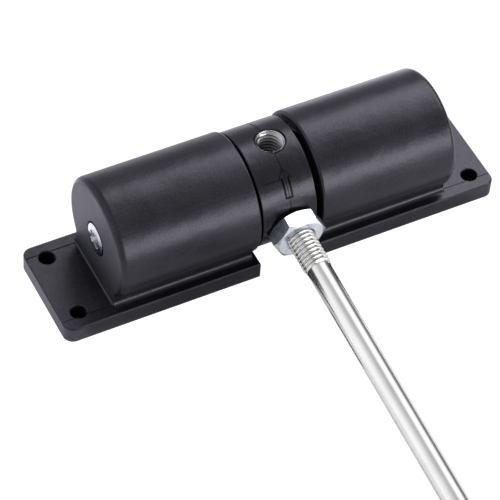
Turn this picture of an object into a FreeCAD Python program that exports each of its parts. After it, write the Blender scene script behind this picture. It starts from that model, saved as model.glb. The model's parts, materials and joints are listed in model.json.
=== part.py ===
"""Double spring door closer: housing with two barrels, sprung winding ring and roller lever.

Frame: origin at the centre of the plate's underside, +X along the barrels, -Y to the lever's side,
+Z away from the surface that the closer is screwed to. All lengths are in millimetres.
Angles about the barrel axis are in degrees from the front (-Y), positive over the top.
"""
import FreeCAD
import Part
import math
import os

# Base plate
PLATE_LENGTH = 134.5
PLATE_WIDTH = 32.0
PLATE_THICKNESS = 5.2
PLATE_CORNER_RADIUS = 3.0
PLATE_EDGE_CHAMFER = 0.4
EAR_STEP = 0.08
EAR_GROOVE_WIDTH = 0.3
EAR_GROOVE_DEPTH = 0.15
SCREW_HOLE_DIAMETER = 4.7
SCREW_HOLE_INSET = 5.8
SCREW_HOLE_SPACING = 21.0
SCREW_HOLE_CHAMFER = 0.2

# Barrels and their foot
BARREL_DIAMETER = 34.8
BARREL_WALL = 2.6
BARREL_SPAN = 103.6
BARREL_GAP = 19.0
AXIS_HEIGHT = 20.0
OUTER_RIM_RADIUS = 2.0
INNER_RIM_RADIUS = 0.7
FOOT_WIDTH = 24.8
FOOT_FILLET = 1.6
END_FILLET = 0.4
END_WALL = 6.0
NOTCH_WIDTH = 16.6
NOTCH_CORNER_RADIUS = 3.0
RELIEF_CLEARANCE = 1.1

# Winding ring
RING_DIAMETER = 33.4
RING_LEFT_GAP = 0.6
RING_RIGHT_GAP = 1.7
RING_EDGE_RADIUS = 0.4
ROD_HOLE_FLOOR = 1.5
ROD_HOLE_COUNTERSINK = 0.55
SPARE_HOLE_ANGLE = 95.8
MARKS_X = -0.3
SCRIBE_WIDTH = 0.3
SCRIBE_DEPTH = 0.14

# Engraved arrow on the ring, with a side mark that runs left from its head
ARROW_START_ANGLE = 36.0
ARROW_SHAFT_LENGTH = 5.4
ARROW_SHAFT_WIDTH = 1.9
ARROW_HEAD_LENGTH = 2.9
ARROW_HEAD_WIDTH = 3.7
SIDE_MARK_LENGTH = 4.6
ARROW_SHAFT_LINE = 0.6
ARROW_HEAD_LINE = 0.3
ARROW_SHAFT_DEPTH = 0.3
ARROW_HEAD_DEPTH = 0.15
ARROW_REACH = 3.0

# Shaft, bushes, sleeves and thrust washers
SHAFT_DIAMETER = 10.0
SHAFT_SOCKET = 1.5
BUSH_WALL = 1.5
BUSH_LENGTH = 7.5
SLEEVE_WALL = 3.4
WASHER_THICKNESS = 0.95
WASHER_DIAMETER = 20.0
RUNNING_CLEARANCE = 0.05
SLIP_CLEARANCE = 0.1
AXIAL_PLAY = 0.05

# End screws
SCREW_THREAD_DIAMETER = 5.0
SCREW_SHANK_LENGTH = 12.0
SCREW_HEAD_DIAMETER = 9.1
SCREW_HEAD_HEIGHT = 2.9
SCREW_HEAD_DOME = 20.0
SCREW_HEAD_RISE = 0.6
SCREW_POCKET_CLEARANCE = 0.6
SCREW_SHANK_CLEARANCE = 0.15
CROSS_LENGTH = 5.8
CROSS_WIDTH = 1.7
CROSS_DEPTH = 1.8
CROSS_TAPER = 0.4

# Plug pin
PLUG_PIN_DIAMETER = 2.5

# Torsion springs
SPRING_WIRE = 3.2
SPRING_TURNS = 8.5
SPRING_BORE_CLEARANCE = 0.9
SPRING_END_CLEARANCE = 1.6
SPRING_BEND_RADIUS = 2.6
SPRING_TANG_DEPTH = 4.5
SPRING_WALL_ANGLE = 90.0

# Lever rod
LEVER_X = 0.5
ROD_DIAMETER = 6.9
ROD_REACH = 139.0
THREAD_DIAMETER = 8.0
THREAD_PITCH = 1.25
THREAD_DEPTH_RATIO = 0.6134
THREAD_CREST_RATIO = 0.125
THREAD_END_RADIUS = 33.0
TIP_THREAD_SHOWN = 2.5
THREAD_CLEARANCE = 0.03
ROD_END_CHAMFER = 0.8

# Lock nuts
NUT_ACROSS_FLATS = 14.0
NUT_HEIGHT = 4.8
NUT_CHAMFER_ANGLE = 30.0
NUT_SEAT_GAP = 0.05
NUT_FACE_RATIO = 0.95
NUT_HOLE_CHAMFER = 0.5

# Roller end
ROLLER_DIAMETER = 11.0
ROLLER_WIDTH = 8.0
ROLLER_EDGE_RADIUS = 1.0
ROLLER_SIDE_CLEARANCE = 0.3
ROLLER_TIP_CLEARANCE = 1.5
PIN_DIAMETER = 4.0
PIN_HEAD_DIAMETER = 6.6
PIN_HEAD_HEIGHT = 1.2
PIN_TAIL = 1.0
FORK_CHEEK = 2.0
FORK_CHEEK_WIDTH = 9.0
FORK_BOSS_DIAMETER = 11.0
FORK_BOSS_LENGTH = 9.0
FORK_CROWN = 3.0
CLIP_THICKNESS = 0.8
CLIP_GROOVE_DEPTH = 0.6
CLIP_DIAMETER = 7.4
CLIP_OPENING = 2.4

# Cutters pass the faces that they open by this much, and places closer than this are the same
CUT_MARGIN = 1.0
SAME_PLACE = 1e-6

# Derived sizes of the housing and its bore
BARREL_RADIUS = BARREL_DIAMETER / 2
BORE_RADIUS = BARREL_RADIUS - BARREL_WALL
END_X = BARREL_SPAN / 2
WALL_X = END_X - END_WALL
GAP_X = BARREL_GAP / 2
PLATE_END_X = PLATE_LENGTH / 2
FOOT_Y = FOOT_WIDTH / 2
FOOT_TOP = AXIS_HEIGHT - math.sqrt((BARREL_RADIUS - OUTER_RIM_RADIUS) ** 2 - FOOT_Y ** 2)
HOLE_X = PLATE_END_X - SCREW_HOLE_INSET
HOLE_Y = SCREW_HOLE_SPACING / 2

# Derived sizes of the ring
RING_RADIUS = RING_DIAMETER / 2
RING_LEFT_X = -GAP_X + RING_LEFT_GAP
RING_RIGHT_X = GAP_X - RING_RIGHT_GAP
RELIEF_RADIUS = RING_RADIUS + RELIEF_CLEARANCE
RELIEF_DIP_SQUARED = max(RELIEF_RADIUS ** 2 - (AXIS_HEIGHT - PLATE_THICKNESS) ** 2, 0)
NOTCH_BACK_Y = math.sqrt(RELIEF_DIP_SQUARED)

# Derived sizes of the pieces on the shaft
SHAFT_RADIUS = SHAFT_DIAMETER / 2
SHAFT_END_X = WALL_X + SHAFT_SOCKET - SLIP_CLEARANCE
BUSH_RADIUS = SHAFT_RADIUS + RUNNING_CLEARANCE + BUSH_WALL
SLEEVE_BORE = SHAFT_RADIUS + SLIP_CLEARANCE
SLEEVE_RADIUS = SLEEVE_BORE + SLEEVE_WALL
LEFT_WASHER_X = RING_LEFT_X - AXIAL_PLAY - WASHER_THICKNESS
RIGHT_WASHER_X = RING_RIGHT_X + AXIAL_PLAY
POCKET_RADIUS = SCREW_HEAD_DIAMETER / 2 + SCREW_POCKET_CLEARANCE
POCKET_DEPTH = SCREW_HEAD_HEIGHT - SCREW_HEAD_RISE

# Derived sizes of the springs
SPRING_RADIUS = BORE_RADIUS - SPRING_BORE_CLEARANCE - SPRING_WIRE / 2
TANG_HOLE_RADIUS = SPRING_WIRE / 2 + SLIP_CLEARANCE
TANG_HOLE_DEPTH = SPRING_TANG_DEPTH + SLIP_CLEARANCE
SPRING_END_INSET = SPRING_END_CLEARANCE + SPRING_WIRE / 2

# Derived sizes of the lever
THREAD_RADIUS = THREAD_DIAMETER / 2
ROD_RADIUS = ROD_DIAMETER / 2
ROD_HOLE_BOTTOM = BUSH_RADIUS + ROD_HOLE_FLOOR
ROD_START = ROD_HOLE_BOTTOM + SLIP_CLEARANCE
ROLLER_RADIUS = ROLLER_DIAMETER / 2
PIN_RADIUS = PIN_DIAMETER / 2
REST_ANGLE = -math.degrees(math.asin((AXIS_HEIGHT - ROLLER_RADIUS) / ROD_REACH))
FORK_SLOT_WIDTH = ROLLER_WIDTH + 2 * ROLLER_SIDE_CLEARANCE
FORK_WIDTH = FORK_SLOT_WIDTH + 2 * FORK_CHEEK
FORK_SLOT_START = ROD_REACH - ROLLER_RADIUS - ROLLER_TIP_CLEARANCE
FORK_START = FORK_SLOT_START - FORK_BOSS_LENGTH
ROD_END = FORK_SLOT_START - SLIP_CLEARANCE
TIP_THREAD_START = FORK_START - NUT_HEIGHT - TIP_THREAD_SHOWN

X_AXIS = FreeCAD.Vector(1, 0, 0)
Y_AXIS = FreeCAD.Vector(0, 1, 0)
Z_AXIS = FreeCAD.Vector(0, 0, 1)


def point(x, y, z):
    return FreeCAD.Vector(x, y, z)


def around_axis(x, radius, angle):
    """Point at a radius and angle about the barrel axis."""
    turn = math.radians(angle)
    return point(x, -radius * math.cos(turn), AXIS_HEIGHT + radius * math.sin(turn))


def box(low, high):
    size = high - low
    return Part.makeBox(size.x, size.y, size.z, low)


def bar(x_from, x_to, radius):
    """Round bar on the barrel axis."""
    return Part.makeCylinder(radius, x_to - x_from, point(x_from, 0, AXIS_HEIGHT), X_AXIS)


def tube(x_from, x_to, radius, bore):
    return bar(x_from, x_to, radius).cut(bar(x_from, x_to, bore))


def round_edges(shape, radius, x_places):
    """Rounds the circular outer edges that lie at the given places along X."""
    edges = [e for e in shape.Edges for x in x_places
             if abs(e.BoundBox.XMin - x) < SAME_PLACE and abs(e.BoundBox.XMax - x) < SAME_PLACE]
    return shape.makeFillet(radius, edges)


def turned(profile):
    """Solid of revolution about X from a closed profile of (x, radius) points."""
    corners = [point(x, radius, 0) for x, radius in profile]
    face = Part.Face(Part.makePolygon(corners + corners[:1]))
    return face.revolve(point(0, 0, 0), X_AXIS, 360)


def on_lever(shape):
    """Moves a shape made along +X from the barrel axis out to the lever's line at rest."""
    moved = shape.copy()
    moved.rotate(point(0, 0, 0), Z_AXIS, -90)
    moved.rotate(point(0, 0, 0), X_AXIS, -REST_ANGLE)
    moved.translate(point(LEVER_X, 0, AXIS_HEIGHT))
    return moved


# Housing
def plate():
    half_x = PLATE_END_X
    half_y = PLATE_WIDTH / 2
    slab = box(point(-half_x, -half_y, 0), point(half_x, half_y, PLATE_THICKNESS))
    corners = [e for e in slab.Edges if e.BoundBox.ZLength > PLATE_THICKNESS / 2]
    slab = slab.makeFillet(PLATE_CORNER_RADIUS, corners)
    rim = [e for e in slab.Edges if e.BoundBox.ZMin > PLATE_THICKNESS / 2]
    return slab.makeChamfer(PLATE_EDGE_CHAMFER, rim)


def foot():
    """Foot under the barrels, with a concave fillet along both sides of the plate."""
    base = PLATE_THICKNESS
    toe = FOOT_Y + FOOT_FILLET
    mid = FOOT_FILLET * (1 - math.sqrt(0.5))
    right = Part.Arc(point(-END_X, toe, base), point(-END_X, FOOT_Y + mid, base + mid),
                     point(-END_X, FOOT_Y, base + FOOT_FILLET)).toShape()
    left = Part.Arc(point(-END_X, -FOOT_Y, base + FOOT_FILLET), point(-END_X, -FOOT_Y - mid, base + mid),
                    point(-END_X, -toe, base)).toShape()
    over = Part.makePolygon([point(-END_X, FOOT_Y, base + FOOT_FILLET), point(-END_X, FOOT_Y, FOOT_TOP),
                             point(-END_X, -FOOT_Y, FOOT_TOP), point(-END_X, -FOOT_Y, base + FOOT_FILLET)])
    under = Part.makeLine(point(-END_X, -toe, base), point(-END_X, toe, base))
    outline = Part.Wire([right] + over.Edges + [left, under])
    return Part.Face(outline).extrude(X_AXIS * BARREL_SPAN)


def barrel(side):
    outer = side * END_X
    inner = side * GAP_X
    body = bar(min(outer, inner), max(outer, inner), BARREL_RADIUS)
    body = round_edges(body, OUTER_RIM_RADIUS, [outer])
    return round_edges(body, INNER_RIM_RADIUS, [inner])


def end_strip(side):
    """Small sloped strip in the corner between an end face and its ear."""
    base = PLATE_THICKNESS - EAR_STEP
    corner = point(side * END_X, -FOOT_Y, base)
    out = corner + X_AXIS * (side * END_FILLET)
    up = corner + Z_AXIS * END_FILLET
    return Part.Face(Part.makePolygon([corner, out, up, corner])).extrude(Y_AXIS * FOOT_WIDTH)


def ear_cut(side):
    """Shallow milled step over an ear, as wide as the foot, with a fine groove along each of its edges."""
    floor = PLATE_THICKNESS - EAR_STEP
    near = side * END_X
    clear = side * (END_X + END_FILLET)
    far = side * (PLATE_END_X + CUT_MARGIN)
    cut = box(point(min(near, far), -FOOT_Y, floor), point(max(near, far), FOOT_Y, AXIS_HEIGHT))
    for edge_y in (-FOOT_Y, FOOT_Y - EAR_GROOVE_WIDTH):
        cut = cut.fuse(box(point(min(clear, far), edge_y, floor - EAR_GROOVE_DEPTH),
                           point(max(clear, far), edge_y + EAR_GROOVE_WIDTH, PLATE_THICKNESS)))
    return cut


def notch():
    """Open notch through the plate under the ring, with rounded inner corners."""
    front = -PLATE_WIDTH
    half = NOTCH_WIDTH / 2
    block = box(point(-half, front, -CUT_MARGIN), point(half, NOTCH_BACK_Y, PLATE_THICKNESS + CUT_MARGIN))
    corners = [e for e in block.Edges
               if e.BoundBox.ZLength > PLATE_THICKNESS and e.BoundBox.YMin > front / 2]
    return block.makeFillet(NOTCH_CORNER_RADIUS, corners)


def screw_hole(x, y):
    radius = SCREW_HOLE_DIAMETER / 2
    hole = Part.makeCylinder(radius, PLATE_THICKNESS + 2 * CUT_MARGIN, point(x, y, -CUT_MARGIN))
    top = PLATE_THICKNESS - EAR_STEP
    mouth = Part.makeCone(radius, radius + SCREW_HOLE_CHAMFER, SCREW_HOLE_CHAMFER,
                          point(x, y, top - SCREW_HOLE_CHAMFER))
    above = Part.makeCylinder(radius + SCREW_HOLE_CHAMFER, EAR_STEP + CUT_MARGIN, point(x, y, top))
    return hole.multiFuse([mouth, above])


def end_bores(side):
    """Screw pocket, shank hole and shaft socket in an end wall."""
    outer = side * END_X
    floor = side * (END_X - POCKET_DEPTH)
    inner = side * WALL_X
    socket = side * (WALL_X + SHAFT_SOCKET)
    shank = SCREW_THREAD_DIAMETER / 2 + SCREW_SHANK_CLEARANCE
    return [bar(min(outer, floor), max(outer, floor), POCKET_RADIUS),
            bar(min(outer, inner), max(outer, inner), shank),
            bar(min(inner, socket), max(inner, socket), SHAFT_RADIUS + RUNNING_CLEARANCE)]


def plug_pin():
    """Dowel in the seam between the plug and the barrel, at the bottom."""
    return Part.makeCylinder(PLUG_PIN_DIAMETER / 2, END_WALL, around_axis(WALL_X, BORE_RADIUS, -90), X_AXIS)


def housing():
    body = plate().fuse([foot(), barrel(-1), barrel(1)])
    gap = box(point(-GAP_X, -PLATE_WIDTH, PLATE_THICKNESS), point(GAP_X, PLATE_WIDTH, 2 * AXIS_HEIGHT))
    relief = bar(-GAP_X, GAP_X, RELIEF_RADIUS)
    cuts = [gap, notch(), relief, bar(-WALL_X, END_X, BORE_RADIUS), plug_pin()]
    cuts += [ear_cut(side) for side in (-1, 1)]
    cuts += [screw_hole(sx * HOLE_X, sy * HOLE_Y) for sx in (-1, 1) for sy in (-1, 1)]
    cuts += end_bores(-1)
    cuts.append(tang_hole(-WALL_X - TANG_HOLE_DEPTH, -WALL_X, SPRING_WALL_ANGLE, RING_LEFT_X))
    for cut in cuts:
        body = body.cut(cut)
    body = body.fuse([end_strip(-1), end_strip(1)])
    return body.removeSplitter()


def end_plug():
    body = bar(WALL_X, END_X, BORE_RADIUS)
    tang = tang_hole(WALL_X, WALL_X + TANG_HOLE_DEPTH, SPRING_WALL_ANGLE, RING_RIGHT_X)
    for cut in end_bores(1) + [plug_pin(), tang]:
        body = body.cut(cut)
    return body


# Shaft and what runs on it
def shaft():
    body = bar(-SHAFT_END_X, SHAFT_END_X, SHAFT_RADIUS)
    tapped = SCREW_THREAD_DIAMETER / 2 + THREAD_CLEARANCE
    depth = SCREW_SHANK_LENGTH
    body = body.cut(bar(-SHAFT_END_X, -SHAFT_END_X + depth, tapped))
    return body.cut(bar(SHAFT_END_X - depth, SHAFT_END_X, tapped))


def recess_slot(top, across, along):
    """One tapered slot of a screw's cross recess, from its mouth at top down to its floor."""
    rims = []
    for x, share in ((top - CROSS_DEPTH, CROSS_TAPER), (top, 1)):
        y = across * share / 2
        z = along * share / 2
        corners = [point(x, sy * y, AXIS_HEIGHT + sz * z) for sy, sz in ((-1, -1), (1, -1), (1, 1), (-1, 1))]
        rims.append(Part.makePolygon(corners + corners[:1]))
    return Part.makeLoft(rims, True, True)


def shaft_screw(side):
    """Domed head screw with a cross recess, made for the right end and mirrored for the left."""
    seat = END_X - POCKET_DEPTH
    top = seat + SCREW_HEAD_HEIGHT
    dome = Part.makeSphere(SCREW_HEAD_DOME, point(top - SCREW_HEAD_DOME, 0, AXIS_HEIGHT))
    head = bar(seat, top, SCREW_HEAD_DIAMETER / 2).common(dome)
    screw = head.fuse(bar(seat - SCREW_SHANK_LENGTH, seat, SCREW_THREAD_DIAMETER / 2))
    for across, along in ((CROSS_LENGTH, CROSS_WIDTH), (CROSS_WIDTH, CROSS_LENGTH)):
        screw = screw.cut(recess_slot(top, across, along))
    screw.rotate(point(0, 0, AXIS_HEIGHT), X_AXIS, 45)
    if side < 0:
        screw = screw.mirror(point(0, 0, 0), X_AXIS)
    return screw


def ring_bush(x_from):
    return tube(x_from, x_from + BUSH_LENGTH, BUSH_RADIUS, SHAFT_RADIUS + RUNNING_CLEARANCE)


def thrust_washer(x_from):
    return tube(x_from, x_from + WASHER_THICKNESS, WASHER_DIAMETER / 2, SLEEVE_BORE)


# Torsion springs
def coil_length(ring_x):
    """Length of the coil's centre line between an end wall and the ring's face at ring_x."""
    return WALL_X - abs(ring_x) - 2 * SPRING_END_INSET


def coil_slope(ring_x):
    return math.atan2(coil_length(ring_x), 2 * math.pi * SPRING_RADIUS * SPRING_TURNS)


def tang_run(ring_x):
    """Length along the coil's tangent that the bend to an axial tang takes."""
    return SPRING_BEND_RADIUS * (1 - math.sin(coil_slope(ring_x)))


def tang_turn(ring_x):
    """Angle about the barrel axis between an end of the coil and its tang."""
    return math.degrees(math.atan2(tang_run(ring_x), SPRING_RADIUS))


def ring_tang_angle(ring_x):
    return SPRING_WALL_ANGLE + 360 * SPRING_TURNS + 2 * tang_turn(ring_x)


def tang_hole(x_from, x_to, angle, ring_x):
    radius = math.hypot(SPRING_RADIUS, tang_run(ring_x))
    return Part.makeCylinder(TANG_HOLE_RADIUS, x_to - x_from, around_axis(x_from, radius, angle), X_AXIS)


def tang_edges(place, direction, up):
    """Bend from an end of the coil to its axial tang, and the tang itself, pointing up or down Z."""
    axis = Z_AXIS * up
    turn = math.acos(direction.dot(axis))
    inward = axis - direction * direction.dot(axis)
    inward.normalize()
    centre = place + inward * SPRING_BEND_RADIUS

    def on_bend(angle):
        return (centre - inward * (SPRING_BEND_RADIUS * math.cos(angle))
                + direction * (SPRING_BEND_RADIUS * math.sin(angle)))

    bend_end = on_bend(turn)
    tip = point(bend_end.x, bend_end.y, place.z + up * (SPRING_END_INSET + SPRING_TANG_DEPTH))
    return [Part.Arc(place, on_bend(turn / 2), bend_end).toShape(), Part.makeLine(bend_end, tip)]


def spring(side, ring_x):
    """Torsion spring from an end wall to the ring: right-handed on the right, left-handed on the left."""
    length = coil_length(ring_x)
    last = 2 * math.pi * SPRING_TURNS
    flat = math.cos(coil_slope(ring_x))
    rise = math.sin(coil_slope(ring_x))
    start = tang_edges(point(SPRING_RADIUS, 0, 0), point(0, -flat, -rise), -1)
    end = tang_edges(point(SPRING_RADIUS * math.cos(last), SPRING_RADIUS * math.sin(last), length),
                     point(-flat * math.sin(last), flat * math.cos(last), rise), 1)
    helix = Part.makeHelix(length / SPRING_TURNS, length, SPRING_RADIUS)
    path = Part.Wire(Part.__sortEdges__(start + helix.Edges + end))
    tip = start[1].Vertexes[1].Point
    wire = Part.Wire(Part.makeCircle(SPRING_WIRE / 2, tip, Z_AXIS))
    coil = path.makePipeShell([wire], True, False)
    if side < 0:
        coil = coil.mirror(point(0, 0, 0), Y_AXIS)
    radial = around_axis(0, 1, SPRING_WALL_ANGLE + tang_turn(ring_x)) - point(0, 0, AXIS_HEIGHT)
    turn = FreeCAD.Rotation(radial, point(0, 0, 0), X_AXIS * -side, "ZXY")
    base = point(side * (WALL_X - SPRING_END_INSET), 0, AXIS_HEIGHT)
    coil.Placement = FreeCAD.Placement(base, turn)
    return coil


# Winding ring
def rod_hole(angle):
    """Radial tapped hole in the ring, at its thread's outer diameter, with a countersunk mouth."""
    outward = around_axis(0, 1, angle) - point(0, 0, AXIS_HEIGHT)
    bottom = around_axis(LEVER_X, ROD_HOLE_BOTTOM, angle)
    hole = Part.makeCylinder(THREAD_RADIUS, RING_RADIUS, bottom, outward)
    flare = 2 * ROD_HOLE_COUNTERSINK
    mouth = around_axis(LEVER_X, RING_RADIUS - ROD_HOLE_COUNTERSINK, angle)
    return hole.fuse(Part.makeCone(THREAD_RADIUS, THREAD_RADIUS + flare, flare, mouth, outward))


def arrow_line(start, end, width, depth, place):
    """Cutter for one line of the arrow, drawn in the plane that touches the ring at the arrow's middle."""
    across = end[0] - start[0]
    along = end[1] - start[1]
    length = math.hypot(across, along)
    half = width / 2
    line = box(point(-half, -half, -ARROW_REACH), point(length + half, half, ARROW_REACH))
    line.rotate(point(0, 0, 0), Z_AXIS, math.degrees(math.atan2(along, across)))
    line.translate(point(start[0], start[1], 0))
    line.Placement = place.multiply(line.Placement)
    return line.common(tube(RING_LEFT_X, RING_RIGHT_X, RING_RADIUS + ARROW_REACH, RING_RADIUS - depth))


def arrow():
    """Outline arrow that points from the rod towards the spare hole, with a deep shaft and a shallow head."""
    tail = -(ARROW_SHAFT_LENGTH + ARROW_HEAD_LENGTH) / 2
    neck = tail + ARROW_SHAFT_LENGTH
    half = ARROW_SHAFT_WIDTH / 2
    wing = ARROW_HEAD_WIDTH / 2
    corners = [(-half, tail), (half, tail), (half, neck), (wing, neck), (0, neck + ARROW_HEAD_LENGTH),
               (-wing, neck), (-half, neck)]
    angle = REST_ANGLE + ARROW_START_ANGLE + math.degrees(-tail / RING_RADIUS)
    outward = around_axis(0, 1, angle) - point(0, 0, AXIS_HEIGHT)
    place = FreeCAD.Placement(around_axis(MARKS_X, RING_RADIUS, angle),
                              FreeCAD.Rotation(X_AXIS, point(0, 0, 0), outward, "ZXY"))
    side_mark = ((-wing, neck), (-wing - SIDE_MARK_LENGTH, neck))
    cutters = [arrow_line(*side_mark, ARROW_HEAD_LINE, ARROW_HEAD_DEPTH, place)]
    for start, end in zip(corners, corners[1:] + corners[:1]):
        on_shaft = abs(start[0]) == half and abs(end[0]) == half
        cut = (ARROW_SHAFT_LINE, ARROW_SHAFT_DEPTH) if on_shaft else (ARROW_HEAD_LINE, ARROW_HEAD_DEPTH)
        cutters.append(arrow_line(start, end, *cut, place))
    return cutters


def winding_ring():
    body = bar(RING_LEFT_X, RING_RIGHT_X, RING_RADIUS)
    body = round_edges(body, RING_EDGE_RADIUS, [RING_LEFT_X, RING_RIGHT_X])
    half_scribe = SCRIBE_WIDTH / 2
    cuts = [bar(RING_LEFT_X, RING_RIGHT_X, BUSH_RADIUS),
            tube(MARKS_X - half_scribe, MARKS_X + half_scribe, RING_RADIUS + SCRIBE_WIDTH,
                 RING_RADIUS - SCRIBE_DEPTH),
            rod_hole(REST_ANGLE),
            rod_hole(REST_ANGLE + SPARE_HOLE_ANGLE)]
    for face_x, inward in ((RING_LEFT_X, 1), (RING_RIGHT_X, -1)):
        deep = face_x + inward * TANG_HOLE_DEPTH
        cuts.append(tang_hole(min(face_x, deep), max(face_x, deep), ring_tang_angle(face_x), face_x))
    for cut in cuts + arrow():
        body = body.cut(cut)
    return body


# Lever: each piece is made along +X from the barrel axis, with world X along local Y
def thread_points(start, end):
    """Profile of a thread as rings of its pitch, from start to the last whole pitch before end."""
    crest = THREAD_RADIUS - THREAD_CLEARANCE
    root = crest - THREAD_DEPTH_RATIO * THREAD_PITCH
    land = THREAD_CREST_RATIO * THREAD_PITCH
    points = []
    for turn in range(int((end - start) / THREAD_PITCH)):
        base = start + turn * THREAD_PITCH
        points += [(base, crest), (base + land, crest), (base + (THREAD_PITCH + land) / 2, root)]
    points.append((base + THREAD_PITCH, crest))
    return points


def lever_rod():
    crest = THREAD_RADIUS - THREAD_CLEARANCE
    inner = thread_points(ROD_START + ROD_END_CHAMFER, THREAD_END_RADIUS)
    outer = thread_points(TIP_THREAD_START, ROD_END - ROD_END_CHAMFER)
    step = crest - ROD_RADIUS
    profile = [(ROD_START, 0), (ROD_START, crest - ROD_END_CHAMFER)] + inner
    profile += [(inner[-1][0] + step, ROD_RADIUS), (outer[0][0] - step, ROD_RADIUS)] + outer
    profile += [(ROD_END, crest - ROD_END_CHAMFER), (ROD_END, 0)]
    return on_lever(turned(profile))


def hex_nut(start):
    """Thin hexagon nut with chamfered corners; two of its flats face up and down at rest."""
    corner = NUT_ACROSS_FLATS / math.sqrt(3)
    inner = NUT_ACROSS_FLATS / 2 * NUT_FACE_RATIO
    chamfer = (corner - inner) * math.tan(math.radians(NUT_CHAMFER_ANGLE))
    turns = [math.radians(60 * k) for k in range(6)]
    corners = [point(start, corner * math.cos(turn), corner * math.sin(turn)) for turn in turns]
    prism = Part.Face(Part.makePolygon(corners + corners[:1])).extrude(X_AXIS * NUT_HEIGHT)
    end = start + NUT_HEIGHT
    envelope = turned([(start, 0), (start, inner), (start + chamfer, corner), (end - chamfer, corner),
                       (end, inner), (end, 0)])
    hole = turned([(start, 0), (start, THREAD_RADIUS + NUT_HOLE_CHAMFER),
                   (start + NUT_HOLE_CHAMFER, THREAD_RADIUS), (end - NUT_HOLE_CHAMFER, THREAD_RADIUS),
                   (end, THREAD_RADIUS + NUT_HOLE_CHAMFER), (end, 0)])
    return on_lever(prism.common(envelope).cut(hole))


def fork():
    half_width = FORK_WIDTH / 2
    half_slot = FORK_SLOT_WIDTH / 2
    half_cheek = FORK_CHEEK_WIDTH / 2
    boss = Part.makeCylinder(FORK_BOSS_DIAMETER / 2, FORK_BOSS_LENGTH, point(FORK_START, 0, 0), X_AXIS)
    yoke = box(point(FORK_SLOT_START - FORK_CROWN, -half_width, -half_cheek),
               point(ROD_REACH, half_width, half_cheek))
    nose = Part.makeCylinder(half_cheek, FORK_WIDTH, point(ROD_REACH, -half_width, 0), Y_AXIS)
    body = boss.fuse([yoke, nose])
    slot = box(point(FORK_SLOT_START, -half_slot, -ROLLER_DIAMETER),
               point(ROD_REACH + ROLLER_DIAMETER, half_slot, ROLLER_DIAMETER))
    tapped = Part.makeCylinder(THREAD_RADIUS, FORK_BOSS_LENGTH, point(FORK_START, 0, 0), X_AXIS)
    pin_hole = Part.makeCylinder(PIN_RADIUS + RUNNING_CLEARANCE, 2 * FORK_WIDTH,
                                 point(ROD_REACH, -FORK_WIDTH, 0), Y_AXIS)
    for cut in (slot, tapped, pin_hole):
        body = body.cut(cut)
    return on_lever(body.removeSplitter())


def at_roller(shape):
    """Moves a shape made about the X axis to the roller's axis at rest."""
    moved = shape.copy()
    moved.translate(around_axis(LEVER_X, ROD_REACH, REST_ANGLE))
    return moved


def roller():
    half = ROLLER_WIDTH / 2
    wheel = Part.makeCylinder(ROLLER_RADIUS, ROLLER_WIDTH, point(-half, 0, 0), X_AXIS)
    wheel = round_edges(wheel, ROLLER_EDGE_RADIUS, [-half, half])
    bore = Part.makeCylinder(PIN_RADIUS + RUNNING_CLEARANCE, ROLLER_WIDTH, point(-half, 0, 0), X_AXIS)
    return at_roller(wheel.cut(bore))


def roller_pin():
    cheek = FORK_WIDTH / 2 + SLIP_CLEARANCE
    groove_end = cheek + CLIP_THICKNESS + SLIP_CLEARANCE
    head = PIN_HEAD_DIAMETER / 2
    neck = PIN_RADIUS - CLIP_GROOVE_DEPTH
    top = -cheek - PIN_HEAD_HEIGHT
    tip = groove_end + PIN_TAIL
    profile = [(top, 0), (top, head), (-cheek, head), (-cheek, PIN_RADIUS), (cheek, PIN_RADIUS),
               (cheek, neck), (groove_end, neck), (groove_end, PIN_RADIUS), (tip, PIN_RADIUS), (tip, 0)]
    return at_roller(turned(profile))


def pin_clip():
    start = FORK_WIDTH / 2 + SLIP_CLEARANCE + SLIP_CLEARANCE / 2
    disc = Part.makeCylinder(CLIP_DIAMETER / 2, CLIP_THICKNESS, point(start, 0, 0), X_AXIS)
    neck = PIN_RADIUS - CLIP_GROOVE_DEPTH + RUNNING_CLEARANCE
    eye = Part.makeCylinder(neck, CLIP_THICKNESS, point(start, 0, 0), X_AXIS)
    half = CLIP_OPENING / 2
    mouth = box(point(start, -half, -CLIP_DIAMETER), point(start + CLIP_THICKNESS, half, 0))
    return at_roller(disc.cut(eye).cut(mouth))


PIECES = {
    "housing": housing(),
    "end_plug": end_plug(),
    "plug_pin": plug_pin(),
    "shaft": shaft(),
    "left_shaft_screw": shaft_screw(-1),
    "right_shaft_screw": shaft_screw(1),
    "left_spring_sleeve": tube(-WALL_X, LEFT_WASHER_X, SLEEVE_RADIUS, SLEEVE_BORE),
    "right_spring_sleeve": tube(RIGHT_WASHER_X + WASHER_THICKNESS, WALL_X, SLEEVE_RADIUS, SLEEVE_BORE),
    "left_thrust_washer": thrust_washer(LEFT_WASHER_X),
    "right_thrust_washer": thrust_washer(RIGHT_WASHER_X),
    "left_spring": spring(-1, RING_LEFT_X),
    "right_spring": spring(1, RING_RIGHT_X),
    "winding_ring": winding_ring(),
    "left_ring_bush": ring_bush(RING_LEFT_X),
    "right_ring_bush": ring_bush(RING_RIGHT_X - BUSH_LENGTH),
    "lever_rod": lever_rod(),
    "lock_nut": hex_nut(RING_RADIUS + NUT_SEAT_GAP),
    "fork": fork(),
    "fork_nut": hex_nut(FORK_START - NUT_HEIGHT),
    "roller": roller(),
    "roller_pin": roller_pin(),
    "pin_clip": pin_clip(),
}

os.makedirs("parts", exist_ok=True)
for name, shape in PIECES.items():
    shape.exportStep("parts/" + name + ".step")
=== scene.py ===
"""Looks of the double spring door closer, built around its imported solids. Lengths are in metres."""
import json
import math
import bmesh
import bpy
from mathutils import Matrix, Vector


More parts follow.
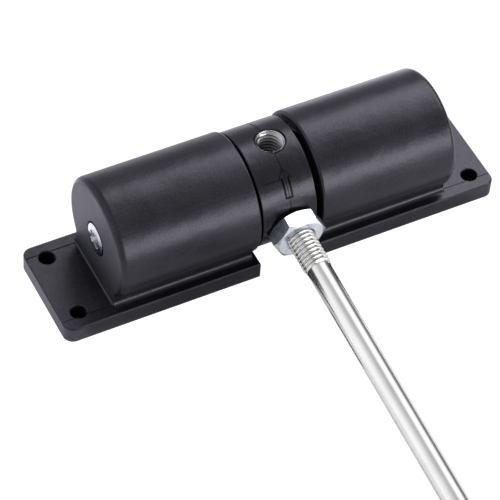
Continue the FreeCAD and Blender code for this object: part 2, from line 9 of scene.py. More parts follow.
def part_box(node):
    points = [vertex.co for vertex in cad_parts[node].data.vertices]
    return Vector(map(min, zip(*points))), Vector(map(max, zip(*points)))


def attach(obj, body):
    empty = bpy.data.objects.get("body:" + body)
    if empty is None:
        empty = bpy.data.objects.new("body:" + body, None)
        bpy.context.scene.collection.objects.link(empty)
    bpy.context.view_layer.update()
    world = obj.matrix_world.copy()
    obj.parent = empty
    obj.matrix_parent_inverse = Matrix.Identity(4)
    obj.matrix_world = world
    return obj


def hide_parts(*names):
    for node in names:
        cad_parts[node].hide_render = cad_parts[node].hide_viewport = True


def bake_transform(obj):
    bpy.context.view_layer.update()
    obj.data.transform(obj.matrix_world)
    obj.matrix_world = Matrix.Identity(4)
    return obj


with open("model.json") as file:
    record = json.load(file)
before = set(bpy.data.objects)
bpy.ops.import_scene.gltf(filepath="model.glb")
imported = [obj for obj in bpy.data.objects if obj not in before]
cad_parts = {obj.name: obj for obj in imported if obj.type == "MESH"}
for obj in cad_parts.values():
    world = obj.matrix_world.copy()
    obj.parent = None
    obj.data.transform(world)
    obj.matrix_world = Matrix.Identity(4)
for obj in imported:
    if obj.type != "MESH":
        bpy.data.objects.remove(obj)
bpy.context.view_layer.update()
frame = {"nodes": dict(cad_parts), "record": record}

# Camera, placed by the photograph's edges; sensor and lens are in millimetres
CAMERA_PLACE = (-0.268182, -0.451784, 0.612364)
CAMERA_RIGHT = (0.89196, -0.44881, 0.05460)
CAMERA_UP = (0.31267, 0.69956, 0.64254)
CLIP_START = 0.01
SENSOR = 36.0
LENS = 204.9

# Lever rod, with its places measured from the barrels' axis
ROD_START = 0.00815
ROD_END = 0.1319
ROD_RADIUS = 0.00345
ROD_CHAMFER = 0.0008
ROD_SIDES = 72
RING_THREAD_END = 0.0330
TIP_THREAD_START = 0.1157
RUN_OUT = 0.0009

# Thread of the rod and of the spare hole; its flats are a share of the pitch
THREAD_CREST = 0.00397
THREAD_DEPTH = 0.00077
THREAD_PITCH = 0.00125
THREAD_FLAT = 0.125
STEPS_PER_PITCH = 12

# Tapped lining of the spare hole; painted shade darkens it towards the bottom, fading between two
# distances from the barrels' axis
LINING_GAP = 0.00002
LINING_SIDES = 72
LINING_FLARE = 0.0011
HOLE_SHADE_FADE = (0.0122, 0.0162)

# Torsion springs: wire, coil, its inset from wall and ring, bends and tangs
WIRE_RADIUS = 0.0016
COIL_RADIUS = 0.0123
COIL_TURNS = 8.5
COIL_INSET = 0.0032
BEND_RADIUS = 0.0026
TANG_DEPTH = 0.0045
WALL_TANG_ANGLE = math.radians(90)
STEPS_PER_TURN = 48
BEND_STEPS = 8
WIRE_SIDES = 20

# Sawn faces of the housing: the barrels' ends and the plate's outer sides
PLATE_TOP = 0.0048
PLATE_SIDES = {"X": 0.0655, "Y": 0.0147}
BARREL_END = 0.0450
END_FACING = (0.90, 0.98)
SAWN_EDGE = 0.0002

# Winding ring: bare metal in its holes, painted shade in a dark rim round them and in its engraved lines
RING_RADIUS = 0.0167
BARE_RADIUS = 0.00402
RIM_SHADE_RADIUS = 0.00455
SHADE_DEPTHS = (0.00005, 0.00022)
PAINT_EDGE = 0.00005
RAY_START_BLUR = 0.001
BARE_TONE = (0.62, 0.62, 0.64)
PAINTED_SHADE_TONE = (0.002, 0.002, 0.002)

# Black coat: dark and pale tones of its grain, and its gloss
COAT_TONES = ((0.0222, 0.0215, 0.0262), (0.0378, 0.0367, 0.0444))
RING_TONES = ((0.0188, 0.0182, 0.0222), (0.0325, 0.0316, 0.0382))
SAWN_TONES = ((0.039, 0.038, 0.045), (0.057, 0.056, 0.066))
COAT_METALLIC = 0.8
COAT_IOR = 1.42
COAT_TINT = (0.92, 0.89, 1.0, 1.0)
COAT_ROUGHNESS = (0.30, 0.38)
SAWN_ADDED_ROUGHNESS = 0.22
RING_SMOOTHNESS = 0.78

# Noises, as scale and detail, and the span that most of their values lie in
MARKS = (1.0, 5.0)
CLOUDS = (90.0, 4.0)
WAVES = (105.0, 3.0)
SPECKS = (2600.0, 2.0)
STAINS = (140.0, 3.0)
DUST = (1800.0, 2.0)
MOTTLE = (420.0, 4.0)
SKIN = (3200.0, 2.0)
FIBRES = (900.0, 3.0)
NOISE_SPAN = (0.3, 0.7)

# Texture of the coat: shares of clouds among streaks and specks, and strength and height of its relief
CLOUD_SHARE = 0.7
GRAIN_SHARE = 0.45
GRAIN_SPAN = (0.38, 0.62)
WAVE_RELIEF = (1.0, 0.00025)
STREAK_RELIEF = (0.03, 0.00004)
SPECK_RELIEF = (0.55, 0.00004)

# Directions of the marks on metal, as noise scales along X, Y and Z
TUMBLED = (700.0, 700.0, 700.0)
TURNED = (900.0, 120.0, 120.0)
DRAWN_ROD = (12.0, 1500.0, 1500.0)
DRAWN_HOUSING = (60.0, 900.0, 900.0)
TURNED_RING = (3000.0, 60.0, 60.0)

# Metals: dark and pale tones, least and most roughness, marks and how strongly they stand out
STEEL_LOOK = ((0.68, 0.68, 0.665), (0.82, 0.82, 0.805), (0.14, 0.22), DRAWN_ROD, 0.2)
METALS = {
    "zinc_plate": ((0.62, 0.67, 0.75), (0.82, 0.85, 0.90), (0.24, 0.36), TUMBLED, 0.2),
    "dull_zinc": ((0.22, 0.24, 0.28), (0.39, 0.415, 0.465), (0.18, 0.30), TUMBLED, 0.4),
    "polished_steel": STEEL_LOOK,
    "rolled_steel": STEEL_LOOK,
    "bright_steel": ((0.46, 0.46, 0.47), (0.60, 0.60, 0.61), (0.22, 0.36), TURNED, 0.2),
    "spring_steel": ((0.10, 0.10, 0.11), (0.19, 0.185, 0.18), (0.30, 0.45), TUMBLED, 0.2),
    "tapped_metal": ((0.46, 0.46, 0.47), (0.62, 0.62, 0.63), (0.20, 0.32), TURNED, 0.2),
    "bronze": ((0.44, 0.27, 0.12), (0.60, 0.40, 0.19), (0.28, 0.42), TURNED, 0.2),
}
# Painted shade: tones for the rod's thread roots and the bottom of the spare hole
ROOT_SHADE_TONE = (0.28, 0.28, 0.27)
HOLE_SHADE_TONE = (0.10, 0.10, 0.10)

# Texture of the metals: share of marks among stains, height of marks and dust, strength of dust to marks
MARK_SHARE = 0.6
MARK_HEIGHT = 0.00003
DUST_TO_MARKS = 0.5

# Nylon: dark and pale tones of its mottle, relief, gloss and how far light goes in
NYLONS = {
    "black_nylon": ((0.012, 0.012, 0.012), (0.024, 0.024, 0.024)),
    "pale_nylon": ((0.66, 0.64, 0.57), (0.78, 0.77, 0.70)),
}
MOTTLE_SPAN = (0.35, 0.65)
SKIN_RELIEF = (0.2, 0.00004)
NYLON_ROUGHNESS = (0.38, 0.55)
NYLON_IOR = 1.53
NYLON_SUBSURFACE = 0.05
NYLON_RADIUS = (0.002, 0.002, 0.0015)

# Stage sheets: dark sheets of painted shade close under the plate, strips of painted shadow and paper
# below them, a white floor far down
SHADE_HALF = (0.0650, 0.0140)
NOTCH_HALF = 0.0085
# Strips of painted shadow: the part's contact shadow in front of the plate, and the rod's shadow beside
# it
FRONT_SHADE = ((-0.060, 0.060), (-0.0230, -0.0175))
ROD_SHADE = ((-0.0148, -0.008), (-0.055, -0.034))
PAPER_HALF = 0.38
FLOOR_HALF = 6.0
SHADE_Z = -0.0002
STRIP_Z = -0.0003
PAPER_Z = -0.0004
LOW_PAPER_Z = -0.0446
FLOOR_Z = -0.045

# Papers of the stage: dark and pale tones, and glow
# Tones of painted shade and shadow, for the sheets under the plate and the strips
SHADE_TONES = ((0.010, 0.010, 0.010), (0.014, 0.014, 0.014))
PAPER_TONES = ((0.78, 0.78, 0.78), (0.82, 0.82, 0.82))
FLOOR_TONES = ((0.30, 0.30, 0.30), (0.32, 0.32, 0.32))
GLOW_COLOUR = (1.0, 1.0, 1.0, 1.0)
LOW_PAPER_GLOW = 0.2
FLOOR_GLOW = 1.0
PAPER_ROUGHNESS = 0.9

# Pools of light on the paper: centre, radius and strength; the core is a share of the radius
LIGHT_POOLS = (((-0.085, 0.022, 0.0), 0.060, 1.35), ((0.105, 0.085, 0.0), 0.080, 1.15))
POOL_CORE = 0.4

# Sky, from front to back and up across the horizon: direction from and to, strength from and to
SKY_COLOUR = (0.98, 0.98, 1.0, 1.0)
FRONT_TO_BACK = (-0.6, 0.6, 0.50, 0.66)
HORIZON = (-0.20, -0.02, 0.25, 1.0)

# Soft bright and dim patches of the sky: direction, cosines at edge and core, strength
SKY_PATCHES = (((-0.95, 0.20, 0.15), 0.42, 0.90, 0.62), ((0.84, 0.44, 0.15), 0.85, 0.96, -0.38),
               ((0.49, 0.40, 0.77), 0.88, 0.97, 0.80))

# Lamps that face the part: place, width and height, power in watts
BACK_LAMP = ((0.50, 0.25, 0.65), (0.80, 0.48), 4.9)
FRONT_LAMP = ((0.42, -0.72, 0.19), (0.80, 0.34), 5.6)

# Solids at the lever's end, which the back lamp spares as it does the rod
LEVER_TIP = ("fork", "fork_nut", "roller", "roller_pin", "pin_clip")

# Direction of the barrels, and of the rod and the lining in their own frames; a millimetre in metres
X_AXIS = Vector((1.0, 0.0, 0.0))
ORIGIN = Vector((0.0, 0.0, 0.0))
MM = 0.001

# Places that the frame gives
record = frame["record"]
solids = frame["nodes"]
joints = {joint["name"]: joint for joint in record["behaviour"]["joints"]}
mounts = {mount["name"]: mount for mount in record["mounts"]}
SWING_CENTRE = Vector(joints["lever_swing"]["pos_m"])
ROLLER_CENTRE = Vector(joints["roller_spin"]["pos_m"])
LEVER_ORIGIN = Vector((ROLLER_CENTRE.x, SWING_CENTRE.y, SWING_CENTRE.z))
LEVER_OUT = (ROLLER_CENTRE - LEVER_ORIGIN).normalized()
SPARE_HOLE = mounts["spare_rod_hole"]
SPARE_OUT = Vector(SPARE_HOLE["axis"]).normalized()

# Colour sockets of a mix node
MIX_COLOURS = (6, 7)
MIX_RESULT = 2


# Node building
class Nodes:
    """A node tree under construction, with short calls for its nodes."""

    def __init__(self, tree):
        self.tree = tree
        self.coordinates = self.add("ShaderNodeTexCoord").outputs

    def add(self, kind, **settings):
        node = self.tree.nodes.new(kind)
        for key, value in settings.items():
            setattr(node, key, value)
        return node

    def link(self, source, target):
        self.tree.links.new(source, target)

    def fill(self, sockets, values):
        """Sets each socket to its value, or links it when the value is a socket."""
        for socket, value in zip(sockets, values):
            if isinstance(value, bpy.types.NodeSocket):
                self.link(value, socket)
            else:
                socket.default_value = value

    def math(self, operation, *values):
        node = self.add("ShaderNodeMath", operation=operation)
        self.fill(node.inputs, values)
        return node.outputs[0]

    def vector(self, operation, *values):
        node = self.add("ShaderNodeVectorMath", operation=operation)
        self.fill(node.inputs, values)
        return node.outputs

    def part(self, source, axis):
        """One of the three numbers of a vector."""
        node = self.add("ShaderNodeSeparateXYZ")
        self.link(source, node.inputs[0])
        return node.outputs[axis]

    def remap(self, source, low, high, new_low, new_high):
        """The source stretched from one span to another, and held at its ends."""
        node = self.add("ShaderNodeMapRange")
        self.fill(node.inputs, (source, low, high, new_low, new_high))
        return node.outputs["Result"]


class Shader(Nodes):
    """A material under construction."""

    def __init__(self, name):
        self.material = bpy.data.materials.new(name)
        self.material.use_nodes = True
        super().__init__(self.material.node_tree)
        self.surface = self.tree.nodes["Principled BSDF"]
        self.place = self.coordinates["Object"]

    def set(self, **values):
        """Values that are the same all over the surface."""
        for key, value in values.items():
            self.surface.inputs[key.replace("_", " ")].default_value = value

    def feed(self, name, source):
        self.link(source, self.surface.inputs[name])

    def fed(self, name):
        """What an input of the surface is linked to so far."""
        return self.surface.inputs[name].links[0].from_socket

    def stretched(self, scale):
        """Places on the surface, scaled along each axis."""
        node = self.add("ShaderNodeMapping")
        node.inputs["Scale"].default_value = scale
        self.link(self.place, node.inputs["Vector"])
        return node.outputs["Vector"]

    def noise(self, scale, detail, at=None):
        node = self.add("ShaderNodeTexNoise")
        node.inputs["Scale"].default_value = scale
        node.inputs["Detail"].default_value = detail
        self.link(at or self.place, node.inputs["Vector"])
        return node.outputs["Fac"]

    def mixed(self, share, first, second):
        """The first value by its share, and the second by the rest."""
        rest = self.math("MULTIPLY", second, 1 - share)
        return self.math("ADD", self.math("MULTIPLY", first, share), rest)

    def blend(self, factor, low, high):
        """Colour between two colours or colour sockets."""
        node = self.add("ShaderNodeMix", data_type="RGBA")
        colours = [(*value, 1.0) if isinstance(value, tuple) else value for value in (low, high)]
        sockets = [node.inputs[place] for place in ("Factor", *MIX_COLOURS)]
        self.fill(sockets, (factor, *colours))
        return node.outputs[MIX_RESULT]

    def bump(self, height, strength, distance, below=None):
        """Normals of a relief, on top of another relief's if one is given."""
        node = self.add("ShaderNodeBump")
        node.inputs["Strength"].default_value = strength
        node.inputs["Distance"].default_value = distance
        self.link(height, node.inputs["Height"])
        if below is not None:
            self.link(below, node.inputs["Normal"])
        return node.outputs["Normal"]

    def beyond(self, axis, side):
        """1 farther from the middle than a distance along one axis, 0 nearer."""
        away = self.math("ABSOLUTE", self.part(self.place, axis))
        return self.remap(away, side, side + SAWN_EDGE, 0.0, 1.0)

    def axis_distance(self, origin, direction):
        """Distance from a line, at each point of the surface."""
        offset = self.vector("SUBTRACT", self.place, origin)[0]
        return self.vector("LENGTH", self.vector("CROSS_PRODUCT", offset, direction)[0])["Value"]

    def ray_distance(self, origin, direction):
        """Distance from a half-line; what lies behind its start counts as far away."""
        offset = self.vector("SUBTRACT", self.place, origin)[0]
        along = self.vector("DOT_PRODUCT", offset, direction)["Value"]
        behind = self.remap(along, -RAY_START_BLUR, 0.0, 1.0, 0.0)
        return self.math("ADD", self.axis_distance(origin, direction), behind)


# Materials
def sawn_faces(shader):
    """1 on the barrels' sawn end faces and on the plate's outer sides, 0 on drawn faces."""
    across = shader.math("ABSOLUTE", shader.part(shader.coordinates["Normal"], "X"))
    facing = shader.remap(across, *END_FACING, 0.0, 1.0)
    ends = shader.math("MULTIPLY", facing, shader.beyond("X", BARREL_END))
    low = shader.remap(shader.part(shader.place, "Z"), PLATE_TOP, PLATE_TOP - SAWN_EDGE, 0.0, 1.0)
    outer = shader.math("MAXIMUM", *[shader.beyond(axis, side) for axis, side in PLATE_SIDES.items()])
    return shader.math("MAXIMUM", ends, shader.math("MULTIPLY", low, outer))


def black_coat(name, marks, tones):
    """Satin black anodised aluminium: cloudy, wavy, finely grained, and rougher on sawn faces."""
    shader = Shader(name)
    streaks = shader.noise(*MARKS, at=shader.stretched(marks))
    speck = shader.noise(*SPECKS)
    clouds = shader.mixed(CLOUD_SHARE, shader.noise(*CLOUDS), streaks)
    tone = shader.remap(shader.mixed(GRAIN_SHARE, clouds, speck), *GRAIN_SPAN, 0.0, 1.0)
    sawn = sawn_faces(shader)
    coats = [shader.blend(tone, *pair) for pair in (tones, SAWN_TONES)]
    shader.feed("Base Color", shader.blend(sawn, *coats))
    satin = shader.remap(clouds, *NOISE_SPAN, *COAT_ROUGHNESS)
    rougher = shader.math("MULTIPLY", sawn, SAWN_ADDED_ROUGHNESS)
    shader.feed("Roughness", shader.math("ADD", satin, rougher))
    waves = shader.bump(shader.noise(*WAVES), *WAVE_RELIEF)
    drawn = shader.bump(streaks, *STREAK_RELIEF, waves)
    shader.feed("Normal", shader.bump(speck, *SPECK_RELIEF, drawn))
    shader.set(Metallic=COAT_METALLIC, IOR=COAT_IOR, Specular_Tint=COAT_TINT)
    return shader


def ring_coat():
    """The coat on the turned ring, with bare metal in its holes, and painted shade in a dark rim round
    them and in its engraved lines, darker the deeper.
    """
    shader = black_coat("ring_coat", TURNED_RING, RING_TONES)
    holes = [shader.ray_distance(LEVER_ORIGIN, out) for out in (LEVER_OUT, SPARE_OUT)]
    away = shader.math("MINIMUM", *holes)
    bare = shader.remap(away, BARE_RADIUS, BARE_RADIUS + PAINT_EDGE, 1.0, 0.0)
    # Painted shade in a dark rim round each hole, and in the engraved lines, darker the deeper they are
    rim = shader.remap(away, RIM_SHADE_RADIUS, RIM_SHADE_RADIUS + PAINT_EDGE, 1.0, 0.0)
    radius = shader.axis_distance(SWING_CENTRE, X_AXIS)
    engraved_shade = shader.remap(radius, *[RING_RADIUS - depth for depth in SHADE_DEPTHS], 0.0, 1.0)
    painted = shader.blend(shader.math("MAXIMUM", engraved_shade, rim), shader.fed("Base Color"), PAINTED_SHADE_TONE)
    shader.feed("Base Color", shader.blend(bare, painted, BARE_TONE))
    shader.feed("Metallic", shader.remap(bare, 0.0, 1.0, COAT_METALLIC, 1.0))
    shader.feed("Roughness", shader.math("MULTIPLY", shader.fed("Roughness"), RING_SMOOTHNESS))
    return shader


def metal(name, dark, pale, roughness, grain, strength):
    """Bare or plated metal with drawn, turned or tumbled marks."""
    shader = Shader(name)
    marks = shader.noise(*MARKS, at=shader.stretched(grain))
    dust = shader.noise(*DUST)
    mixed = shader.mixed(MARK_SHARE, marks, shader.noise(*STAINS))
    shader.feed("Base Color", shader.blend(shader.remap(mixed, *NOISE_SPAN, 0.0, 1.0), dark, pale))
    shader.feed("Roughness", shader.remap(mixed, *NOISE_SPAN, *roughness))
    marked = shader.bump(marks, strength, MARK_HEIGHT)
    shader.feed("Normal", shader.bump(dust, strength * DUST_TO_MARKS, MARK_HEIGHT, marked))
    shader.set(Metallic=1.0)
    return shader


def nylon(name, dark, pale):
    """Moulded nylon with a faint mottle and a soft sheen."""
    shader = Shader(name)
    mottle = shader.noise(*MOTTLE)
    skin = shader.noise(*SKIN)
    shader.feed("Base Color", shader.blend(shader.remap(mottle, *MOTTLE_SPAN, 0.0, 1.0), dark, pale))
    shader.feed("Roughness", shader.remap(mottle, *NOISE_SPAN, *NYLON_ROUGHNESS))
    shader.feed("Normal", shader.bump(skin, *SKIN_RELIEF))
    shader.set(IOR=NYLON_IOR, Subsurface_Weight=NYLON_SUBSURFACE, Subsurface_Radius=NYLON_RADIUS)
    return shader


def darken(shader, source, dark_at, unshaded_at, tone):
    """Paints shade into a material, darkening it towards a tone where the source is low."""
    unshaded = shader.remap(source, dark_at, unshaded_at, 0.0, 1.0)
    shader.feed("Base Color", shader.blend(unshaded, tone, shader.fed("Base Color")))


def make_materials():
    """All shaders by name, with painted shade in the rod's thread roots and at the bottom of the spare
    hole.
    """
    shaders = {name: metal(name, *look) for name, look in METALS.items()}
    shaders.update({name: nylon(name, *tones) for name, tones in NYLONS.items()})
    shaders["black_coat"] = black_coat("black_coat", DRAWN_HOUSING, COAT_TONES)
    shaders["ring_coat"] = ring_coat()
    rod, hole = shaders["rolled_steel"], shaders["tapped_metal"]
    radius = rod.axis_distance(ORIGIN, X_AXIS)
    # Painted shade in the thread roots, where the rod is thinnest
    darken(rod, radius, THREAD_CREST - THREAD_DEPTH, ROD_RADIUS - PAINT_EDGE, ROOT_SHADE_TONE)
    # Painted shade, darker towards the bottom of the spare hole
    darken(hole, hole.part(hole.place, "X"), *HOLE_SHADE_FADE, HOLE_SHADE_TONE)
    return {name: shader.material for name, shader in shaders.items()}


def dress_solids():
    """Gives every solid of the frame the material of its slot."""
    for subpart in record["subparts"]:
        mesh = solids[subpart["node"]].data
        mesh.materials.clear()
        mesh.materials.append(materials[subpart["material_slot"]])


# Objects
def add_object(name, data, place):
    """New object of the scene, at the place that a matrix gives."""
    thing = bpy.data.objects.new(name, data)
    thing.matrix_world = place
    bpy.context.scene.collection.objects.link(thing)
    return thing


# Pieces made of rings of points
def ring_mesh(name, rows, closed, material, place):
    """Surface through rows of points, each row a ring; closed joins the last row to the first."""
    shape = bmesh.new()
    rings = [[shape.verts.new(point) for point in row] for row in rows]
    following = rings[1:] + rings[:1] if closed else rings[1:]
    for low, high in zip(rings, following):
        count = len(low)
        for k in range(count):
            shape.faces.new((low[k], low[(k + 1) % count], high[(k + 1) % count], high[k]))
    if not closed:
        shape.faces.new(list(reversed(rings[0])))
        shape.faces.new(rings[-1])
    bmesh.ops.recalc_face_normals(shape, faces=shape.faces)
    mesh = bpy.data.meshes.new(name)
    shape.to_mesh(mesh)
    shape.free()
    mesh.shade_smooth()
    mesh.materials.append(materials[material])
    return add_object(name, mesh, place)


def line_frame(out):
    """Frame on the lever's origin whose X points along out and whose Y is the barrels' direction."""
    turn = Matrix((out, X_AXIS, out.cross(X_AXIS))).transposed()
    return Matrix.Translation(LEVER_ORIGIN) @ turn.to_4x4()


def ring_points(along, radius_at, sides):
    """Points round local X at one place along it, at the radius that radius_at gives for each turn."""
    points = []
    for k in range(sides):
        turn = 2 * math.pi * k / sides
        radius = radius_at(along, turn)
        points.append((along, radius * math.cos(turn), radius * math.sin(turn)))
    return points


def groove(along, turn):
    """Depth of a thread's groove at a place, from 0 on the crest to 1 at the root."""
    phase = (along / THREAD_PITCH - turn / (2 * math.pi)) % 1.0
    away = abs(phase - 0.5) * 2
    return min(max((1 - THREAD_FLAT - away) / (1 - 2 * THREAD_FLAT), 0.0), 1.0)


def smooth(value):
    """Smooth step from 0 to 1."""
    value = min(max(value, 0.0), 1.0)
    return value * value * (3 - 2 * value)


def rod_radius(along, turn):
    """Radius of the rod with its two rolled threads and their run-outs."""
    lead = THREAD_PITCH * turn / (2 * math.pi)
    inner = 1 - smooth((along - RING_THREAD_END + RUN_OUT + lead) / RUN_OUT)
    outer = smooth((along - TIP_THREAD_START + lead) / RUN_OUT)
    threaded = THREAD_CREST - THREAD_DEPTH * groove(along, turn)
    radius = ROD_RADIUS + (threaded - ROD_RADIUS) * max(inner, outer)
    to_end = min(along - ROD_START, ROD_END - along)
    return min(radius, THREAD_CREST - ROD_CHAMFER + to_end)


def rod_stations():
    """Places of the rod's rings, close together on its threads and wide apart between them."""
    step = THREAD_PITCH / STEPS_PER_PITCH
    stations = [ROD_START]
    while stations[-1] < ROD_END - step:
        plain = RING_THREAD_END + THREAD_PITCH < stations[-1] < TIP_THREAD_START - 2 * THREAD_PITCH
        stations.append(stations[-1] + (THREAD_PITCH if plain else step))
    return stations + [ROD_END]


def lever_rod():
    """The lever rod with true helical threads."""
    rows = [ring_points(along, rod_radius, ROD_SIDES) for along in rod_stations()]
    rod = ring_mesh("lever_rod_threaded", rows, False, "rolled_steel", line_frame(LEVER_OUT))
    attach(rod, "lever")
    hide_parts("lever_rod")
    return rod


def spare_lining():
    """Helical thread that lines the spare hole, whose ridges fade out in a flare at the top."""
    wall = SPARE_HOLE["dims"]["r_mm"] * MM - LINING_GAP
    middle = (Vector(SPARE_HOLE["pos_m"]) - LEVER_ORIGIN).length
    half = SPARE_HOLE["dims"]["length_mm"] * MM / 2
    bottom = middle - half + LINING_GAP
    top = middle + half

    def tapped(along, turn):
        ridge = THREAD_DEPTH * (1 - groove(along, turn))
        return wall - min(ridge, (top - along) * THREAD_DEPTH / LINING_FLARE + LINING_GAP)

    count = math.ceil((top - bottom) * STEPS_PER_PITCH / THREAD_PITCH)
    stations = [bottom + (top - bottom) * k / count for k in range(count + 1)]
    inner = [ring_points(along, tapped, LINING_SIDES) for along in stations]
    outer = [ring_points(along, lambda *place: wall, LINING_SIDES) for along in (top, bottom)]
    lining = ring_mesh("spare_hole_thread", inner + outer, True, "tapped_metal", line_frame(SPARE_OUT))
    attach(lining, "lever")


# Torsion springs, which wind up between the housing and the lever
def coil_path(length):
    """Centre line from wall to ring: angle about the axis, tangent offset, place along the axis."""
    last = 2 * math.pi * COIL_TURNS
    slope = math.atan2(length, last * COIL_RADIUS)
    flat, rise = math.cos(slope), math.sin(slope)
    bend = []
    for k in range(1, BEND_STEPS + 1):
        turn = math.acos(rise) * k / BEND_STEPS
        offset = BEND_RADIUS * (flat * math.sin(turn) - rise * (1 - math.cos(turn)))
        beyond = BEND_RADIUS * (flat * (1 - math.cos(turn)) + rise * math.sin(turn))
        bend.append((offset, beyond))
    bend.append((bend[-1][0], COIL_INSET + TANG_DEPTH))
    count = round(COIL_TURNS * STEPS_PER_TURN)
    before = [(0.0, -offset, -beyond) for offset, beyond in reversed(bend)]
    coil = [(last * k / count, 0.0, length * k / count) for k in range(count + 1)]
    return before + coil + [(last, offset, length + beyond) for offset, beyond in bend]


def wire_rows(centres, normals):
    """Circles of the wire round each point of its centre line; normals are square to the line."""
    turns = [2 * math.pi * k / WIRE_SIDES for k in range(WIRE_SIDES)]
    rows = []
    for k, (centre, normal) in enumerate(zip(centres, normals)):
        ahead = centres[min(k + 1, len(centres) - 1)] - centres[max(k - 1, 0)]
        side = ahead.normalized().cross(normal)
        spokes = [normal * math.cos(turn) + side * math.sin(turn) for turn in turns]
        rows.append([centre + spoke * WIRE_RADIUS for spoke in spokes])
    return rows


def torsion_spring(node, outer, inner):
    """Spring coiled from an outer to an inner x, with a bent tang at each end."""
    inwards = math.copysign(1.0, inner - outer)
    reach = inwards * (TANG_DEPTH + COIL_INSET)
    start = Vector((outer + reach, SWING_CENTRE.y, SWING_CENTRE.z))
    end = Vector((inner - reach, SWING_CENTRE.y, SWING_CENTRE.z))
    path = coil_path((end - start).length)
    first = WALL_TANG_ANGLE + math.atan2(-path[0][1], COIL_RADIUS)
    centres = []
    normals = []
    for angle, offset, along in path:
        normal = Vector((0.0, -math.cos(first + angle), math.sin(first + angle)))
        tangent = Vector((0.0, normal.z, -normal.y))
        place = start + X_AXIS * inwards * along
        centres.append(place + normal * COIL_RADIUS + tangent * offset)
        normals.append(normal)
    rows = wire_rows(centres, normals)
    coil = ring_mesh(node + "_wound", rows, False, "spring_steel", Matrix.Identity(4))
    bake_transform(coil)
    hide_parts(node)


def springs():
    """Both springs, each from its barrel's end wall to the ring."""
    left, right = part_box("left_spring"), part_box("right_spring")
    torsion_spring("left_spring", left[0][0], left[1][0])
    torsion_spring("right_spring", right[1][0], right[0][0])


# Studio
def sheet(name, xs, ys, z, paint):
    """Flat rectangular sheet of the stage."""
    mesh = bpy.data.meshes.new(name)
    corners = [(xs[0], ys[0], z), (xs[1], ys[0], z), (xs[1], ys[1], z), (xs[0], ys[1], z)]
    mesh.from_pydata(corners, [], [range(len(corners))])
    mesh.materials.append(paint)
    thing = add_object(name, mesh, Matrix.Identity(4))
    return thing


def paper(name, tones, glow):
    """Matt paper with a faint mottle, glowing evenly."""
    shader = Shader(name)
    shader.feed("Base Color", shader.blend(shader.noise(*FIBRES), *tones))
    shader.set(Roughness=PAPER_ROUGHNESS, Emission_Color=GLOW_COLOUR, Emission_Strength=glow)
    return shader


def lit_paper():
    """Paper under the part, with pools of light; from below it lets all light through."""
    shader = paper("floor_paper", PAPER_TONES, 0.0)
    glow = 0.0
    for centre, radius, strength in LIGHT_POOLS:
        away = shader.vector("DISTANCE", shader.place, centre)["Value"]
        glow = shader.math("ADD", shader.remap(away, POOL_CORE * radius, radius, strength, 0.0), glow)
    shader.feed("Emission Strength", glow)
    mix = shader.add("ShaderNodeMixShader")
    below = shader.add("ShaderNodeNewGeometry").outputs["Backfacing"]
    open_air = shader.add("ShaderNodeBsdfTransparent").outputs["BSDF"]
    shader.fill(mix.inputs, (below, shader.surface.outputs["BSDF"], open_air))
    shader.link(mix.outputs["Shader"], shader.tree.nodes["Material Output"].inputs["Surface"])
    return shader


def floor():
    """White floor for the camera alone, painted shade under the plate, strips of painted shadow, and
    papers that light the part.
    """
    shade = paper("floor_shade", SHADE_TONES, 0.0).material
    white = paper("floor_white", FLOOR_TONES, FLOOR_GLOW).material
    low = paper("low_paper", PAPER_TONES, LOW_PAPER_GLOW).material
    wide = (-FLOOR_HALF, FLOOR_HALF)
    span = (-PAPER_HALF, PAPER_HALF)
    half_x, half_y = SHADE_HALF
    seen = sheet("floor", wide, wide, FLOOR_Z, white)
    seen.visible_diffuse = False
    seen.visible_glossy = False
    seen.visible_shadow = False
    # Painted shade under the plate, seen through its holes
    sheet("left_shade", (-half_x, -NOTCH_HALF), (-half_y, half_y), SHADE_Z, shade)
    sheet("right_shade", (NOTCH_HALF, half_x), (-half_y, half_y), SHADE_Z, shade)
    # Papers and strips of painted shadow, all unseen by the camera
    for unseen in (sheet("low_paper", span, span, LOW_PAPER_Z, low),
                   sheet("front_shade", *FRONT_SHADE, STRIP_Z, shade),
                   sheet("rod_shade", *ROD_SHADE, STRIP_Z, shade),
                   sheet("floor_paper", span, span, PAPER_Z, lit_paper().material)):
        unseen.visible_camera = False


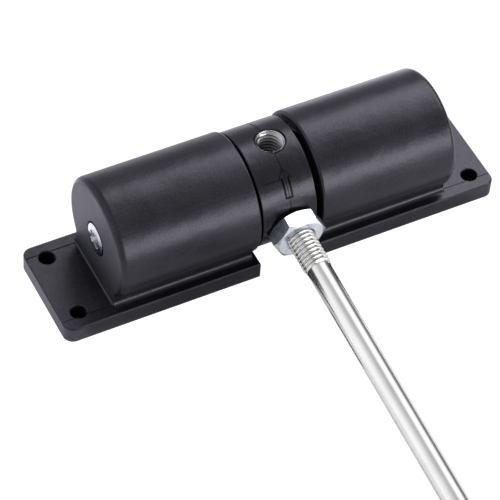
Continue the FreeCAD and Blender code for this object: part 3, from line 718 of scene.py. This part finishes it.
def unlit(name, pieces):
    """Collection of the pieces that a lamp leaves out."""
    group = bpy.data.collections.new(name)
    for piece in pieces:
        group.objects.link(piece)
    for link in group.collection_objects:
        link.light_linking.link_state = "EXCLUDE"
    return group


def softbox(name, place, size, power, spared=()):
    """Rectangular lamp that faces the part, and lights all of it but the spared pieces."""
    lamp = bpy.data.lights.new(name, "AREA")
    lamp.shape = "RECTANGLE"
    lamp.size, lamp.size_y = size
    lamp.energy = power
    turn = (-Vector(place).normalized()).to_track_quat("-Z", "Y")
    thing = add_object(name, lamp, Matrix.Translation(place) @ turn.to_matrix().to_4x4())
    if spared:
        thing.light_linking.receiver_collection = unlit(name + "_spares", spared)


def sky():
    """Pale light from above, stronger from behind, with soft patches, and dim below the horizon."""
    world = bpy.data.worlds.new("studio")
    world.use_nodes = True
    shading = Nodes(world.node_tree)
    backdrop = shading.tree.nodes["Background"]
    backdrop.inputs["Color"].default_value = SKY_COLOUR
    direction = shading.coordinates["Generated"]
    glow = shading.remap(shading.part(direction, "Y"), *FRONT_TO_BACK)
    for centre, edge, core, strength in SKY_PATCHES:
        towards = shading.vector("DOT_PRODUCT", direction, Vector(centre).normalized())["Value"]
        glow = shading.math("ADD", glow, shading.remap(towards, edge, core, 0.0, strength))
    above = shading.remap(shading.part(direction, "Z"), *HORIZON)
    shading.link(shading.math("MULTIPLY", glow, above), backdrop.inputs["Strength"])
    bpy.context.scene.world = world


def camera():
    """Camera at the photograph's viewing angle."""
    lens = bpy.data.cameras.new("camera")
    lens.sensor_width = SENSOR
    lens.lens = LENS
    lens.clip_start = CLIP_START
    right = Vector(CAMERA_RIGHT).normalized()
    back = right.cross(Vector(CAMERA_UP)).normalized()
    turn = Matrix((right, back.cross(right), back)).transposed()
    place = Matrix.Translation(CAMERA_PLACE) @ turn.to_4x4()
    bpy.context.scene.camera = add_object("camera", lens, place)


materials = make_materials()
dress_solids()
rod = lever_rod()
spare_lining()
springs()
floor()
sky()
softbox("back_top", *BACK_LAMP, (rod, *[solids[name] for name in LEVER_TIP]))
softbox("front_low", *FRONT_LAMP)
camera()
bpy.context.scene.view_settings.view_transform = "Standard"
